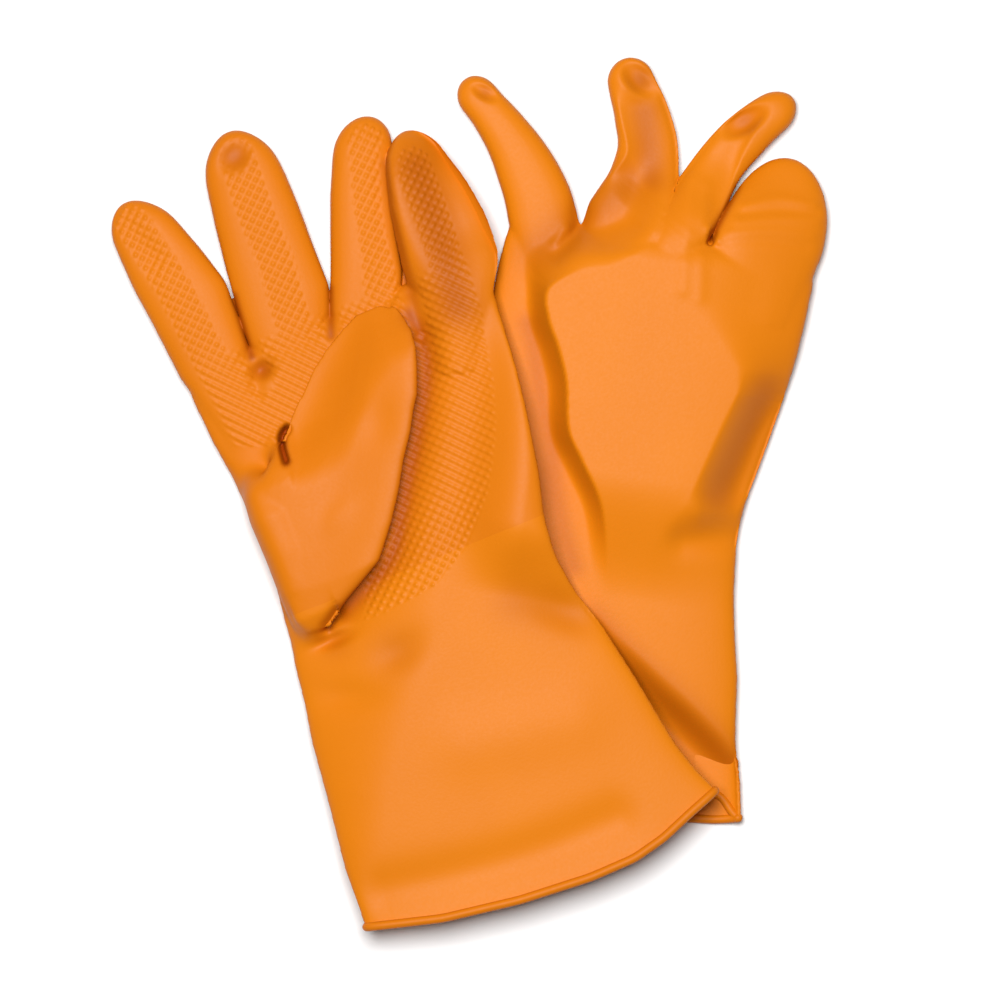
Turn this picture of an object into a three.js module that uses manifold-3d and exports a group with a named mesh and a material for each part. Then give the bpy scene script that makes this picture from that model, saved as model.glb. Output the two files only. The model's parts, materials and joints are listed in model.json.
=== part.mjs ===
// A pair of rubber household gloves, lying flat. Millimetres, +Z up.
// The right glove lies back up with its thumb folded under its palm. The left glove lies
// palm up on the right one's edge, with its thumb folded over its palm.
// Each glove is a thin shell, open at the mouth, split where its digits bend.
import * as THREE from "three";
import { mergeVertices } from "three/addons/utils/BufferGeometryUtils.js";
import Module from "manifold-3d";

const wasm = await Module();
wasm.setup();

// What both gloves share
const wall = 1.2;
const wristWidth = 105;
const knuckleWidth = 125;
const mouthAt = 4; // the gauntlet's end, past which its bead is rolled
const splitAt = 104; // where the gauntlet meets the hand
const wristAt = 125; // the narrowest place
const handThickness = 12;
const digitThickness = 11;
const digitLift = 0.5; // a finger's underside above the hand's
const thumbThickness = 11;
const beadDiameter = 3.6;
const pieceGap = 0.4; // between the two sides of a bend line
const layerGap = 0.8; // between one layer and the layer that lies on it
const stubLength = 4; // how far a finger's root stands out of the hand
const rootDepth = 30; // how far it reaches into the hand
const cutPast = 9; // how far a hollow is cut past an open end
const webWall = 5; // the solid rubber between two fingers' roots
const stubTaper = 0.008; // how much narrower a finger is for each millimetre inside the hand
const mouthBlend = 70; // how far up the gauntlet a slanted or bowed mouth reaches
const squareness = 2.4; // 2 is an ellipse, more is a fuller flat tube
const edgeShare = 0.25; // the height of a tube's side edges, of its whole height

// Where each glove lies: the middle of its mouth, and its heading to the left of +Y.
// A digit starts at root, in its glove's frame, and turns from one heading to the other.
const rightGlove = {
  name: "right",
  mouth: [35.54, -126.73],
  heading: -9,
  mouthWidth: 130,
  mouthSlant: 0.167,
  mouthBow: 0,
  waistShift: -4,
  websAt: 222, // where the hand ends between the fingers
  colour: "#e07c22",
  digits: {
    index: { root: [-43, 225], headings: [22, 47], length: 61, widths: [25.5, 14], tip: 8 },
    middle: { root: [-13.8, 240], headings: [-10, 30], length: 54.5, widths: [31, 15], tip: 9 },
    ring: { root: [12.5, 237.5], headings: [-14, -46], length: 58, widths: [20.7, 14.5], tip: 8.5 },
    little: { root: [43.6, 233.5], headings: [-4, -4], length: 30, widths: [37.5, 37], tip: 28.5 },
  },
};
const leftGlove = {
  name: "left",
  mouth: [27.94, -140.03],
  heading: 21.9,
  mouthWidth: 142,
  mouthSlant: 0,
  mouthBow: 10.5,
  waistShift: -5,
  websAt: 216,
  colour: "#f08c2e",
  digits: {
    index: { root: [-45.9, 219], headings: [6, 4], length: 70, widths: [30.2, 23], tip: 11.5 },
    middle: { root: [-15.2, 219], headings: [-8, -5], length: 81, widths: [29.6, 24], tip: 12 },
    ring: { root: [13.9, 219.4], headings: [-24, -18], length: 73.5, widths: [26, 19], tip: 10.5 },
    little: { root: [47.4, 214], headings: [-17, 0], length: 63, widths: [33, 21.5], tip: 11 },
  },
};

// The thumb is a leaf, folded in along a line near the edge of the hand.
const thumb = {
  root: [-37, 117],
  headings: [-27, -34],
  length: 117,
  widest: 46,
  widestAt: 60,
  tipWidth: 33,
  tip: 21,
};
const thumbFold = { start: [-33, 118], end: [-28, 184], baseWidth: 17 };

// The hand of the right glove rises over its own thumb, and settles again over these lengths.
const thumbRise = { left: [-62, -33], right: [27, 60], wrist: [82, 112], fingers: [222, 256] };
// The left glove starts to rise this far from the edge of the right one.
const approach = 34;

const { degToRad, lerp, smoothstep } = THREE.MathUtils;
const signedPower = (value, power) => Math.sign(value) * Math.abs(value) ** power;

// The height that the right glove's thumb gives to the hand over it.
function overThumb(across, along) {
  const sides = smoothstep(across, ...thumbRise.left) * (1 - smoothstep(across, ...thumbRise.right));
  const ends = smoothstep(along, ...thumbRise.wrist) * (1 - smoothstep(along, ...thumbRise.fingers));
  return (thumbThickness + layerGap) * sides * ends;
}

function toRow(glove, across, along) {
  const angle = degToRad(glove.heading);
  return [
    glove.mouth[0] + across * Math.cos(angle) - along * Math.sin(angle),
    glove.mouth[1] + across * Math.sin(angle) + along * Math.cos(angle),
  ];
}

function fromRow(glove, x, y) {
  const angle = degToRad(glove.heading);
  const [dx, dy] = [x - glove.mouth[0], y - glove.mouth[1]];
  return [dx * Math.cos(angle) + dy * Math.sin(angle), dy * Math.cos(angle) - dx * Math.sin(angle)];
}

// Half the flat width of the gauntlet and the hand, at a distance from the mouth.
function halfWidth(glove, along) {
  if (along < wristAt) {
    const share = Math.max(0, 1 - Math.max(0, along) / wristAt) ** 1.25;
    return lerp(wristWidth, glove.mouthWidth, share) / 2;
  }
  return lerp(wristWidth, knuckleWidth, smoothstep(along, wristAt, glove.websAt)) / 2;
}

// What a glove lies on, at a place in its own frame.
function support(glove, across, along) {
  if (glove === rightGlove) {
    return overThumb(across, along);
  }
  const [otherAcross, otherAlong] = fromRow(rightGlove, ...toRow(glove, across, along));
  const edge = -halfWidth(rightGlove, otherAlong);
  const overEdge = smoothstep(otherAcross, edge - approach, edge - layerGap);
  return (handThickness + layerGap) * overEdge + overThumb(otherAcross, otherAlong);
}

// The places of a tube's sections. An inside has the places of its outside, and goes past an
// open end, or stops short of a closed one, by the lengths in past.
function stations([from, to], steps, past = [0, 0], ease = 1) {
  const places = Array.from({ length: steps + 1 }, (_, i) => lerp(to, from, (1 - i / steps) ** ease));
  if (past[0] > 0) {
    places.unshift(from - past[0]);
  }
  if (past[1] < 0) {
    places.pop();
  }
  if (past[1] !== 0) {
    places.push(to + past[1]);
  }
  return places;
}

// One closed tube with a flattened section, an upper and a lower sheet made of long strips.
// sectionAt(place) gives the middle of a section, the direction across it, its half width, its
// height and its lowest level.
function tube(glove, places, sectionAt, strips, inset) {
  const steps = places.length - 1;
  const geometry = new THREE.BoxGeometry(2, 2, 1, strips, 1, steps);
  const points = geometry.attributes.position;
  for (let i = 0; i < points.count; i += 1) {
    const section = sectionAt(places[Math.round((points.getZ(i) + 0.5) * steps)]);
    const side = Math.sin((Math.PI / 2) * points.getX(i));
    const fullness = Math.max(edgeShare, (1 - Math.abs(side) ** squareness) ** (1 / squareness));
    const up = points.getY(i) * fullness;
    const reach = side * Math.max(0.3, section.half - inset);
    const u = section.middle[0] + reach * section.across[0];
    const v = section.middle[1] + reach * section.across[1] + (section.bend ? section.bend(reach) : 0);
    const middle = section.height / 2;
    const z = middle + up * Math.max(0.3, middle - inset) * (up < 0 ? 1.1 : 1);
    const floor = section.height > 2 * inset ? inset : middle;
    const base = section.onTable ? 0 : support(glove, u, v);
    points.setXYZ(i, u, v, base + section.low + Math.max(z, floor));
  }
  return solid(geometry);
}

// A closed three.js geometry as a solid that manifold-3d can join and cut.
function solid(geometry) {
  geometry.deleteAttribute("normal");
  geometry.deleteAttribute("uv");
  const merged = mergeVertices(geometry, 1e-4);
  const corners = Float32Array.from(merged.attributes.position.array);
  const triangles = Uint32Array.from(merged.index.array);
  if (volumeOf(corners, triangles) < 0) {
    triangles.reverse();
  }
  const mesh = new wasm.Mesh({ numProp: 3, vertProperties: corners, triVerts: triangles });
  return new wasm.Manifold(mesh);
}

function volumeOf(corners, triangles) {
  const point = (index) => new THREE.Vector3().fromArray(corners, index * 3);
  let volume = 0;
  for (let i = 0; i < triangles.length; i += 3) {
    const [a, b, c] = [point(triangles[i]), point(triangles[i + 1]), point(triangles[i + 2])];
    volume += a.dot(b.cross(c)) / 6;
  }
  return volume;
}

function meshOf(glove, name, shape) {
  const { vertProperties, triVerts } = shape.getMesh();
  const geometry = new THREE.BufferGeometry();
  geometry.setAttribute("position", new THREE.BufferAttribute(vertProperties, 3));
  geometry.setIndex(new THREE.BufferAttribute(triVerts, 1));
  geometry.computeVertexNormals();
  const material = new THREE.MeshStandardMaterial({ color: glove.colour, roughness: 0.5, metalness: 0 });
  const mesh = new THREE.Mesh(geometry, material);
  mesh.name = `${glove.name}_${name}`;
  return mesh;
}

// The gauntlet and the hand are one long tube, from the mouth to the webs.
function palmTube(glove, places, inset) {
  const sectionAt = (along) => {
    const mouthShare = 1 - smoothstep(along, 0, mouthBlend);
    const half = halfWidth(glove, along);
    const shift = glove.waistShift * Math.sin((Math.PI * THREE.MathUtils.clamp(along, 0, 150)) / 150);
    const webs = Math.sqrt(1 - THREE.MathUtils.clamp((along - glove.websAt + 9) / 10, 0, 0.97) ** 2);
    return {
      middle: [shift, along],
      across: [1, 0],
      half: half * lerp(0.9, 1, webs),
      height: handThickness * webs,
      low: (handThickness * (1 - webs)) / 2,
      bend: (reach) => mouthShare * (glove.mouthSlant * reach - glove.mouthBow * (1 - (reach / half) ** 2)),
    };
  };
  return tube(glove, places, sectionAt, 16, inset);
}

// Where a digit's middle line is, and which way it heads, at a length from its root.
function middleLine(digit, length) {
  const [first, last] = digit.headings.map(degToRad);
  const turn = (last - first) / digit.length;
  const end = first + turn * Math.max(0, length);
  let [u, v] = digit.root;
  if (length < 0 || Math.abs(turn) < 1e-6) {
    u -= Math.sin(first) * length;
    v += Math.cos(first) * length;
  } else {
    u += (Math.cos(end) - Math.cos(first)) / turn;
    v += (Math.sin(end) - Math.sin(first)) / turn;
  }
  return { middle: [u, v], across: [Math.cos(end), Math.sin(end)] };
}

function tipRounding(digit, length) {
  const past = (length - digit.length + digit.tip) / digit.tip;
  return Math.sqrt(1 - THREE.MathUtils.clamp(past, 0, 0.995) ** 2);
}

function fingerTube(glove, digit, places, inset) {
  const sectionAt = (length) => {
    const grown = THREE.MathUtils.clamp(length / digit.length, 0, 1);
    const width = lerp(...digit.widths, grown) * (1 + stubTaper * Math.min(0, length));
    const round = tipRounding(digit, length);
    const height = Math.max(2, digitThickness * round);
    return {
      ...middleLine(digit, length),
      half: (width * round) / 2,
      height,
      low: digitLift + (digitThickness - height) / 4,
    };
  };
  return tube(glove, places, sectionAt, 6, inset);
}

// The left glove's thumb lies on its palm, and the right glove's on the table, under its palm.
function thumbTube(glove, past, inset) {
  const sectionAt = (length) => {
    const line = middleLine(thumb, length);
    const opening = Math.sin((Math.PI / 2) * THREE.MathUtils.clamp(length / thumb.widestAt, 0.05, 1));
    const narrowing = smoothstep(length, thumb.widestAt, thumb.length - thumb.tip);
    const round = tipRounding(thumb, length);
    return {
      ...line,
      half: (lerp(thumb.widest, thumb.tipWidth, narrowing) * opening * round) / 2,
      height: Math.max(2, thumbThickness * Math.min(1, opening * 1.6) * round),
      low: glove === leftGlove ? handThickness + layerGap : 0,
      onTable: glove === rightGlove,
    };
  };
  return tube(glove, stations([0, thumb.length], 16, past, 1.2), sectionAt, 10, inset);
}

// The root of the thumb, that stands out of the hand along the fold.
function thumbBase(glove, inset) {
  const [start, end] = [thumbFold.start, thumbFold.end];
  const top = handThickness / 2 + thumbThickness;
  const sectionAt = (share) => ({
    middle: [lerp(start[0], end[0], share), lerp(start[1], end[1], share)],
    across: [1, 0],
    half: (thumbFold.baseWidth / 2) * Math.sqrt(1 - (2 * share - 1) ** 4 * 0.8),
    height: top,
    low: glove === leftGlove ? handThickness / 2 : layerGap,
    onTable: glove === rightGlove,
  });
  const ends = inset / Math.hypot(end[0] - start[0], end[1] - start[1]);
  return tube(glove, stations([ends, 1 - ends], 5), sectionAt, 6, inset);
}

// A block that fills one side of the thumb's fold line. side is 1 towards the thumb.
function besideFold(side, gap) {
  const { start, end } = thumbFold;
  const reach = 200;
  const block = new THREE.BoxGeometry(reach, 2 * reach, 2 * reach);
  block.translate((side * (reach + gap)) / 2, 0, 0);
  block.rotateZ(Math.atan2(start[0] - end[0], end[1] - start[1]));
  block.translate((start[0] + end[0]) / 2, (start[1] + end[1]) / 2, 0);
  return solid(block);
}

function makeGauntlet(glove) {
  const outside = palmTube(glove, stations([mouthAt, splitAt], 8), 0);
  const inside = palmTube(glove, stations([mouthAt, splitAt], 8, [cutPast, cutPast]), wall);
  return meshOf(glove, "gauntlet", outside.subtract(inside));
}

// The rolled edge of the mouth, a closed ring just past the gauntlet's end.
function makeBead(glove) {
  const radius = beadDiameter / 2;
  const ring = new THREE.TorusGeometry(1, 0.4, 6, 44);
  const points = ring.attributes.position;
  const half = halfWidth(glove, mouthAt) - wall / 2;
  const middle = handThickness / 2;
  for (let i = 0; i < points.count; i += 1) {
    const around = Math.atan2(points.getY(i), points.getX(i));
    const roll = Math.atan2(points.getZ(i), Math.hypot(points.getX(i), points.getY(i)) - 1);
    const [across, up] = [Math.cos(around), Math.sin(around)];
    const reach = signedPower(across, 2 / squareness) * half;
    const u = reach + across * radius * Math.cos(roll);
    const bow = glove.mouthSlant * reach - glove.mouthBow * (1 - (reach / half) ** 2);
    const v = mouthAt + bow - pieceGap - radius * (1 + Math.sin(roll));
    const z = middle + signedPower(up, 2 / squareness) * (middle - radius) + up * radius * Math.cos(roll);
    points.setXYZ(i, u, v, support(glove, u, v) + z);
  }
  return meshOf(glove, "cuff_bead", solid(ring));
}

function makeHand(glove) {
  const digits = Object.values(glove.digits);
  const body = (inset, palmPast, stubPast) => {
    let shape = palmTube(glove, stations([splitAt + pieceGap, glove.websAt], 18, palmPast), inset);
    for (const digit of digits) {
      const places = stations([inset - rootDepth, stubLength], 4, stubPast);
      shape = shape.add(fingerTube(glove, digit, places, inset));
    }
    return shape.add(thumbBase(glove, inset));
  };
  const hand = body(0, [0, 0], [0, 0]).subtract(body(wall, [cutPast, -webWall], [0, cutPast]));
  let cut = thumbBase(glove, -0.5).intersect(besideFold(1, -pieceGap));
  cut = cut.add(thumbTube(glove, [0, 0], -pieceGap / 2).intersect(besideFold(1, pieceGap)));
  for (const digit of digits) {
    const places = stations([stubLength + pieceGap / 2, digit.length], 8, [0, 0], 1.6);
    cut = cut.add(fingerTube(glove, digit, places, -pieceGap / 2));
  }
  return meshOf(glove, "hand", hand.subtract(cut));
}

function makeThumb(glove) {
  const leaf = thumbTube(glove, [0, 0], 0).subtract(thumbTube(glove, [0, -wall], wall));
  return meshOf(glove, "thumb", leaf.intersect(besideFold(1, pieceGap)));
}

function makeFinger(glove, name) {
  const digit = glove.digits[name];
  const ends = [stubLength + pieceGap, digit.length];
  const outside = fingerTube(glove, digit, stations(ends, 8, [0, 0], 1.6), 0);
  const inside = fingerTube(glove, digit, stations(ends, 8, [cutPast, -wall], 1.6), wall);
  return meshOf(glove, name, outside.subtract(inside));
}

function makeGlove(glove) {
  const group = new THREE.Group();
  group.add(makeBead(glove), makeGauntlet(glove), makeHand(glove), makeThumb(glove));
  for (const name of Object.keys(glove.digits)) {
    group.add(makeFinger(glove, name));
  }
  group.position.set(glove.mouth[0], glove.mouth[1], 0);
  group.rotation.z = degToRad(glove.heading);
  return group;
}

const gloves = new THREE.Group();
gloves.name = "rubber_gloves";
gloves.add(makeGlove(rightGlove), makeGlove(leftGlove));

export default gloves;
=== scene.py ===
# A pair of rubber household gloves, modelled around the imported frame.
# Each glove is shaped in millimetres in its own frame, u across and v along from its mouth,
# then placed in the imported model's frame and divided into the pieces that move with each body.
import bpy
import bmesh
import json
import math
import numpy as np
from mathutils import Matrix, Vector


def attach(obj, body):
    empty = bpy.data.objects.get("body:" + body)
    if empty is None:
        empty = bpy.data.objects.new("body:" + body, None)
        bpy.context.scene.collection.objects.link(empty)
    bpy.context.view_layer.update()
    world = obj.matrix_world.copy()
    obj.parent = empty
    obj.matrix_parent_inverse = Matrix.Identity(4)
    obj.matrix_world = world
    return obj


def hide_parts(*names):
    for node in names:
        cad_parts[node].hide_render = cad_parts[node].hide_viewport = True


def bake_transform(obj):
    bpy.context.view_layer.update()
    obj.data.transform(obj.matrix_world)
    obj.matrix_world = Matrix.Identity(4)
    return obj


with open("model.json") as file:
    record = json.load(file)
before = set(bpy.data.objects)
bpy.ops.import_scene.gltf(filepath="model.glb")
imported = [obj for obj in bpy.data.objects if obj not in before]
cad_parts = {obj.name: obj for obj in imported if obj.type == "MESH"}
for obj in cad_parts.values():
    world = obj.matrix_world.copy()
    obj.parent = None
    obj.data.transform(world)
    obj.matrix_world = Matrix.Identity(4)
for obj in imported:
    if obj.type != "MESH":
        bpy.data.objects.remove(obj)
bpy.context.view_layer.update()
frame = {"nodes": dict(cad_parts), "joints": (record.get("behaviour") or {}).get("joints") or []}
print("frame loaded:", len(frame["nodes"]), "nodes")

joints = {joint["name"]: joint for joint in frame["joints"]}
fingers = ("index", "middle", "ring", "little")

# where each glove's index and little fingers bend, in its own frame
bendPlaces = {
    "right": ((-44.6, 228.9), (43.9, 237.7)),
    "left": ((-46.3, 223.2), (48.6, 218.0)),
}

# how high one layer of glove lies on another
layers = {
    "hand": 12.0,
    "gap": 0.8,
    "rise": 11.8,
    "approach": 54.0,
    "riseLeft": (-62, -33),
    "riseRight": (27, 60),
    "riseWrist": (82, 112),
    "riseFingers": (222, 256),
}


def gloveToRow(side):
    own = [Vector(place) for place in bendPlaces[side]]
    seen = [Vector(joints[f"{side}_{name}_bend"]["pos_m"][:2]) * 1000 for name in ("index", "little")]
    ownLine, seenLine = own[1] - own[0], seen[1] - seen[0]
    turn = math.atan2(seenLine.y, seenLine.x) - math.atan2(ownLine.y, ownLine.x)
    rotation = Matrix.Rotation(turn, 4, "Z")
    start = Vector((*seen[0], 0)) - rotation @ Vector((*own[0], 0))
    return Matrix.Translation(start) @ rotation


toRow = {side: gloveToRow(side) for side in ("right", "left")}


def moved(matrix, points):
    m = np.array(matrix)
    return points @ m[:3, :3].T + m[:3, 3]


def smooth(x, start, end):
    t = np.clip((x - start) / (end - start), 0, 1)
    return t * t * (3 - 2 * t)


def overThumb(u, v):
    sides = smooth(u, *layers["riseLeft"]) * (1 - smooth(u, *layers["riseRight"]))
    ends = smooth(v, *layers["riseWrist"]) * (1 - smooth(v, *layers["riseFingers"]))
    return layers["rise"] * sides * ends


# building closed tubes, each a row of flattened rings

def addTube(bm, sections, segments=36):
    rings = []
    for section in sections:
        square = section.get("square", 2.5)
        angle = math.radians(section.get("turn", 0))
        ring = bmesh.ops.create_circle(bm, segments=segments, radius=1)["verts"]
        for vert in ring:
            x, y = vert.co.x, vert.co.y
            across = math.copysign(abs(x) ** (2 / square), x)
            lift = math.copysign(abs(y) ** (2 / square), y)
            taper = 1 - section.get("thin", 0) * (1 - smooth(across, -1, 0.3))
            bulge = section.get("lean", 0) * section["half"] * max(0, lift) * (1 - across * across)
            reach = across * section["half"] + bulge
            vert.co.x = section["middle"][0] + reach * math.cos(angle)
            vert.co.y = section["middle"][1] + reach * math.sin(angle)
            rise = section["height"] * (0.5 + 0.5 * lift) * taper
            vert.co.z = section["low"] + rise + section.get("tilt", 0) * across
        rings.append(list({edge for vert in ring for edge in vert.link_edges}))
    for near, far in zip(rings, rings[1:]):
        bmesh.ops.bridge_loops(bm, edges=near + far)
    for end in (rings[0], rings[-1]):
        bmesh.ops.contextual_create(bm, geom=end)


def digitSections(digit, inside, steps=30):
    length, tip = digit["length"], digit["tip"]
    tipStart = 1 - tip / length
    straight = np.linspace(0, tipStart, steps - 10, endpoint=False)
    rounded = 1 - tip / length * (1 - np.sin(np.linspace(0, math.pi / 2, 11))[:-1])
    shares = np.concatenate([straight, rounded, [0.9985]])
    places = np.concatenate([[-inside, -inside / 2], shares * length])
    ticks = np.linspace(0, 1, 400)
    headings = np.radians(np.interp(ticks, np.linspace(0, 1, len(digit["headings"])), digit["headings"]))
    for _ in range(30):
        headings[1:-1] = (headings[:-2] + headings[2:]) / 2
    step = length / 399
    lineU = digit["root"][0] - np.concatenate([[0], np.cumsum(np.sin(headings[:-1]) * step)])
    lineV = digit["root"][1] + np.concatenate([[0], np.cumsum(np.cos(headings[:-1]) * step)])
    made = []
    for place in places:
        share = max(0.0, place / length)
        heading = float(np.interp(share, ticks, headings))
        u, v = float(np.interp(share, ticks, lineU)), float(np.interp(share, ticks, lineV))
        if place < 0:
            u, v = u - math.sin(heading) * place, v + math.cos(heading) * place
        left, right, height, low, lean, tilt = (
            float(np.interp(share, np.linspace(0, 1, len(digit[key])), digit[key]))
            for key in ("left", "right", "height", "low", "lean", "tilt")
        )
        rounding = math.sqrt(max(0.0, 1 - max(0.0, (place - length + tip) / tip) ** 2))
        middle = (right - left) / 2
        narrow = 1 + 0.006 * min(0.0, place)
        made.append({
            "middle": (u + middle * math.cos(heading), v + middle * math.sin(heading)),
            "turn": math.degrees(heading),
            "half": max(0.3, (left + right) / 2 * rounding * narrow),
            "height": max(0.6, height * math.sqrt(rounding)),
            "low": low + height * (1 - math.sqrt(rounding)) * 0.3,
            "lean": lean,
            "tilt": tilt * rounding,
            "square": digit.get("square", 2.5),
        })
    return made


def palmSections(palm, mouthPast=10, steps=46):
    made = []
    straight = np.linspace(-mouthPast, palm["webs"] - 10, steps)
    rounded = palm["webs"] - 10 * (1 - np.sin(np.linspace(0.15, 1.5, 8)))
    for v in np.concatenate([straight, rounded]):
        left, right = (float(np.interp(v, palm["at"], palm[key])) for key in ("left", "right"))
        rounding = math.sqrt(max(0.02, 1 - max(0.0, (v - palm["webs"] + 10) / 10) ** 2))
        height = palm["height"] * rounding
        made.append({
            "middle": ((left + right) / 2, float(v)),
            "half": (right - left) / 2 * (0.9 + 0.1 * rounding),
            "height": height,
            "low": (palm["height"] - height) / 2,
            "square": 2.7,
        })
    return made


skin = {"voxel": 0.85, "easeRounds": 8}  # how finely the tubes are fused, in millimetres, and how far they are eased


def fused(name, bm):
    bmesh.ops.recalc_face_normals(bm, faces=bm.faces)
    mesh = bpy.data.meshes.new(name)
    bm.to_mesh(mesh)
    bm.free()
    obj = bpy.data.objects.new(name, mesh)
    bpy.context.scene.collection.objects.link(obj)
    remesh = obj.modifiers.new("fuse", "REMESH")
    remesh.mode, remesh.voxel_size, remesh.adaptivity = "VOXEL", skin["voxel"], 0
    ease = obj.modifiers.new("ease", "SMOOTH")
    ease.factor, ease.iterations = 0.5, skin["easeRounds"]
    bpy.context.view_layer.update()
    done = bpy.data.meshes.new_from_object(obj.evaluated_get(bpy.context.evaluated_depsgraph_get()))
    bpy.data.objects.remove(obj)
    return done


def coordinates(mesh):
    co = np.empty(len(mesh.vertices) * 3)
    mesh.vertices.foreach_get("co", co)
    return co.reshape(-1, 3)


def setCoordinates(mesh, co):
    mesh.vertices.foreach_set("co", co.ravel())
    mesh.update()


def normalsOf(mesh):
    found = np.empty(len(mesh.vertices) * 3, np.float32)
    mesh.vertex_normals.foreach_get("vector", found)
    return found.reshape(-1, 3).astype(float)


# shaping a surface with strokes, as with a sculpting brush

def curved(path, steps=5):
    path = np.array(path, float)
    if len(path) < 3:
        return path
    ends = np.vstack([2 * path[0] - path[1], path, 2 * path[-1] - path[-2]])
    made = []
    for a, b, c, d in zip(ends, ends[1:], ends[2:], ends[3:]):
        for t in np.arange(steps) / steps:
            bend = (2 * a - 5 * b + 4 * c - d) * t ** 2 + (3 * b - a - 3 * c + d) * t ** 3
            made.append(0.5 * (2 * b + (c - a) * t + bend))
    return np.array(made + [path[-1]])


def toPath(points, path):
    best = np.full(len(points), 1e9)
    side = np.zeros(len(points))
    along = np.zeros(len(points))
    path = curved(path)
    lengths = np.linalg.norm(path[1:] - path[:-1], axis=1)
    total, done = lengths.sum(), 0.0
    for a, b, length in zip(path, path[1:], lengths):
        d = (b - a) / length
        rel = points[:, :2] - a
        t = np.clip(rel @ d, 0, length)
        gap = rel - t[:, None] * d
        dist = np.hypot(gap[:, 0], gap[:, 1])
        closer = dist < best
        best[closer] = dist[closer]
        side[closer] = np.sign(d[0] * rel[closer, 1] - d[1] * rel[closer, 0])
        along[closer] = (done + t[closer]) / total
        done += length
    return best, side, along


def press(co, top, path, width, depth):
    dist, _, _ = toPath(co, path)
    co[:, 2] -= depth * np.exp(-((dist / width) ** 2)) * top


def fold(co, top, path, side, width, depth, fade=0.25):
    dist, which, along = toPath(co, path)
    d = np.where(which == side, dist, 0)
    ends = smooth(along, 0, fade) * (1 - smooth(along, 1 - fade, 1))
    co[:, 2] -= depth * (d / width) * np.exp(1 - d / width) * ends * top


def step(co, top, path, side, width, depth):
    dist, which, _ = toPath(co, path)
    co[:, 2] -= depth * smooth(np.where(which == side, dist, 0), 0, width) * top


def dimple(co, top, place, size, turn, depth, crisp=2):
    a = math.radians(turn)
    du, dv = co[:, 0] - place[0], co[:, 1] - place[1]
    x = (du * math.cos(a) + dv * math.sin(a)) / size[0]
    y = (-du * math.sin(a) + dv * math.cos(a)) / size[1]
    co[:, 2] -= depth * np.exp(-((x * x + y * y) ** crisp)) * top


# the left glove, palm up, on top

leftPalm = {
    "height": 12,
    "webs": 222,
    "at": [-16, 0, 12, 25, 52, 75, 90, 106, 121, 137, 161, 178, 195, 212, 224],
    "left": [-73, -72.5, -72, -71.5, -68, -65.5, -62.5, -60.5, -58, -55.8, -55.5, -56.5, -58, -59, -59.5],
    "right": [71, 70.5, 66, 62.5, 58, 53.5, 49, 47, 48.5, 53, 57.5, 60, 61.5, 63, 62],
}
leftMouth = {  # the curve of the rolled edge
    "at": [-72, -44, -14, 14, 32, 45, 58, 71],
    "edge": [2, -5.5, -10, -12, -11.5, -8.5, -3.5, 1],
    "reach": 70,
    "open": 0,
}
leftDigits = {
    "index": {
        "root": (-45.5, 219), "headings": [6, 5, 4], "length": 72.5, "tip": 12,
        "left": [13.8, 13.6, 13.6, 14, 13.2, 12.2], "right": [13.2, 15.2, 17.2, 14.6, 11, 6],
        "height": [11, 11, 11, 10.5, 10], "low": [0.3, 0.3], "lean": [0, 0], "tilt": [0, 0],
    },
    "middle": {
        "root": (-15.2, 219), "headings": [-7, -8, -5], "length": 82.7, "tip": 12.5,
        "left": [15.8, 16.8, 17.2, 17.2, 16.4, 12.5], "right": [14.4, 18, 16, 14.2, 11.8, 7],
        "height": [11, 11.5, 11.5, 10.5], "low": [0.3, 0.3], "lean": [0, 0], "tilt": [0, 0],
    },
    "ring": {
        "root": (13.9, 219.4), "headings": [-24, -21, -18], "length": 73.5, "tip": 12,
        "left": [12.4, 12.2, 12.4, 12.2, 10.8, 8], "right": [12.6, 13.8, 11.4, 10.2, 10.4, 12],
        "height": [11, 11, 11, 10], "low": [0.3, 0.3], "lean": [0, 0], "tilt": [0, 0],
    },
    "little": {
        "root": (47.4, 213), "headings": [-17, -9, 0, 3], "length": 64, "tip": 12,
        "left": [15, 16.8, 16.8, 15.6, 12, 8.8], "right": [16.5, 19.2, 17.4, 14.4, 10.8, 8.8],
        "height": [12.5, 14, 14.5, 14.5, 12], "low": [0.3, 1.2, 2.6, 3.4, 2], "lean": [-0.3, -0.5, -0.6, -0.6, -0.4],
        "tilt": [0, -1.2, -2.6, -3.4, -2], "square": 1.75,
    },
}
leftFlap = {  # the thumb, folded over the palm
    "at": [113, 119, 129, 141, 151, 161, 170, 177, 182, 187, 193, 199.5, 206, 211, 215.5, 218.5],
    "left": [-52, -54, -54, -54, -54, -53, -50, -44, -39, -32, -26, -19, -12, -5, 3, 10],
    "right": [-42, -34, -15.5, -5.5, 1.5, 7.5, 14, 18, 21.5, 23.5, 25.8, 27.8, 28.3, 27.5, 25.5, 21],
    "height": [3, 7, 9, 9.5, 9.5, 9.5, 9.5, 9.5, 9.5, 9.2, 9, 8.6, 7.8, 6.6, 5, 3],
    "thin": [0, 0, 0, 0, 0, 0, 0, 0.2, 0.45, 0.6, 0.65, 0.65, 0.6, 0.55, 0.5, 0.4],
    "low": 14.4,
    "above": 13.2,  # what lies higher than this, between from and to, is the thumb
    "from": -37,
    "to": 30.5,
    "rim": [(-28, 189.5), (-19, 198), (-9, 208.5), (4, 217.5), (14, 221), (21, 220.5)],
}
leftRoll = {  # the thick roll at the thumb's root
    "at": [110, 118, 130, 145, 160, 172, 179],
    "middle": [-50, -48, -46.5, -46, -46.5, -47, -47.5],
    "half": [4, 8, 9.6, 9.8, 9.6, 8, 4],
    "height": [12, 17, 22, 23, 23, 20, 13],
}


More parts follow.
